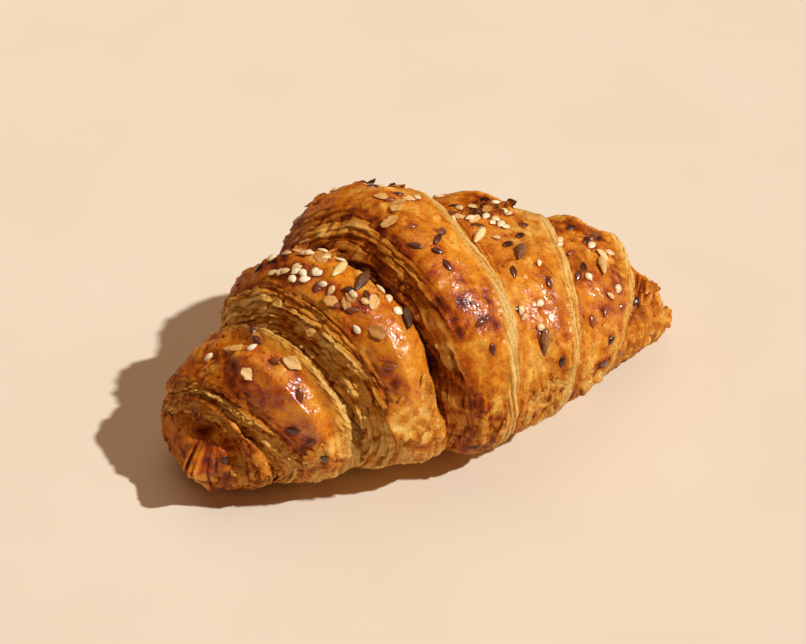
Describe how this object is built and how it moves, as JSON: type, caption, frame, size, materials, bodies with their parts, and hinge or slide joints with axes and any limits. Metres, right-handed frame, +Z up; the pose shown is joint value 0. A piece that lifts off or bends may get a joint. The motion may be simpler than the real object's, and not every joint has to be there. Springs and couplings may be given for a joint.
{
  "type": "croissant",
  "caption": "Plump straight croissant of laminated dough, rolled into overlapping turns that taper to both tips, with seeds and oat flakes on its crust, lying on a flat underside.",
  "frame": {"origin": "centre of the bounding box on the plane the croissant rests on", "axes": "+X along the roll from its left tip, the one nearer the viewer, to its right tip; -Y is the front, the side the viewer sees; +Z is up"},
  "size_m": [0.15, 0.0853, 0.0664],
  "materials": {
    "crust": "satin",
    "sesame": "satin",
    "linseed": "gloss",
    "sunflower_kernel": "satin",
    "oat_flake": "matte"
  },
  "bodies": {
    "root": {"dough": "crust", "sesame_01": "sesame", "sesame_02": "sesame", "sesame_03": "sesame", "sesame_04": "sesame", "sesame_05": "sesame", "sesame_06": "sesame", "sesame_07": "sesame", "sesame_08": "sesame", "sesame_09": "sesame", "sesame_10": "sesame", "sesame_11": "sesame", "sesame_12": "sesame", "sesame_13": "sesame", "sesame_14": "sesame", "sesame_15": "sesame", "sesame_16": "sesame", "sesame_17": "sesame", "sesame_18": "sesame", "sesame_19": "sesame", "sesame_20": "sesame", "sesame_21": "sesame", "sesame_22": "sesame", "linseed_01": "linseed", "linseed_02": "linseed", "linseed_03": "linseed", "linseed_04": "linseed", "linseed_05": "linseed", "linseed_06": "linseed", "linseed_07": "linseed", "linseed_08": "linseed", "linseed_09": "linseed", "linseed_10": "linseed", "linseed_11": "linseed", "linseed_12": "linseed", "linseed_13": "linseed", "linseed_14": "linseed", "linseed_15": "linseed", "linseed_16": "linseed", "linseed_17": "linseed", "linseed_18": "linseed", "linseed_19": "linseed", "linseed_20": "linseed", "linseed_21": "linseed", "linseed_22": "linseed", "sunflower_kernel_01": "sunflower_kernel", "sunflower_kernel_02": "sunflower_kernel", "sunflower_kernel_03": "sunflower_kernel", "sunflower_kernel_04": "sunflower_kernel", "sunflower_kernel_05": "sunflower_kernel", "sunflower_kernel_06": "sunflower_kernel", "sunflower_kernel_07": "sunflower_kernel", "oat_flake_01": "oat_flake", "oat_flake_02": "oat_flake", "oat_flake_03": "oat_flake", "oat_flake_04": "oat_flake", "oat_flake_05": "oat_flake", "oat_flake_06": "oat_flake"}
  },
  "joints": []
}
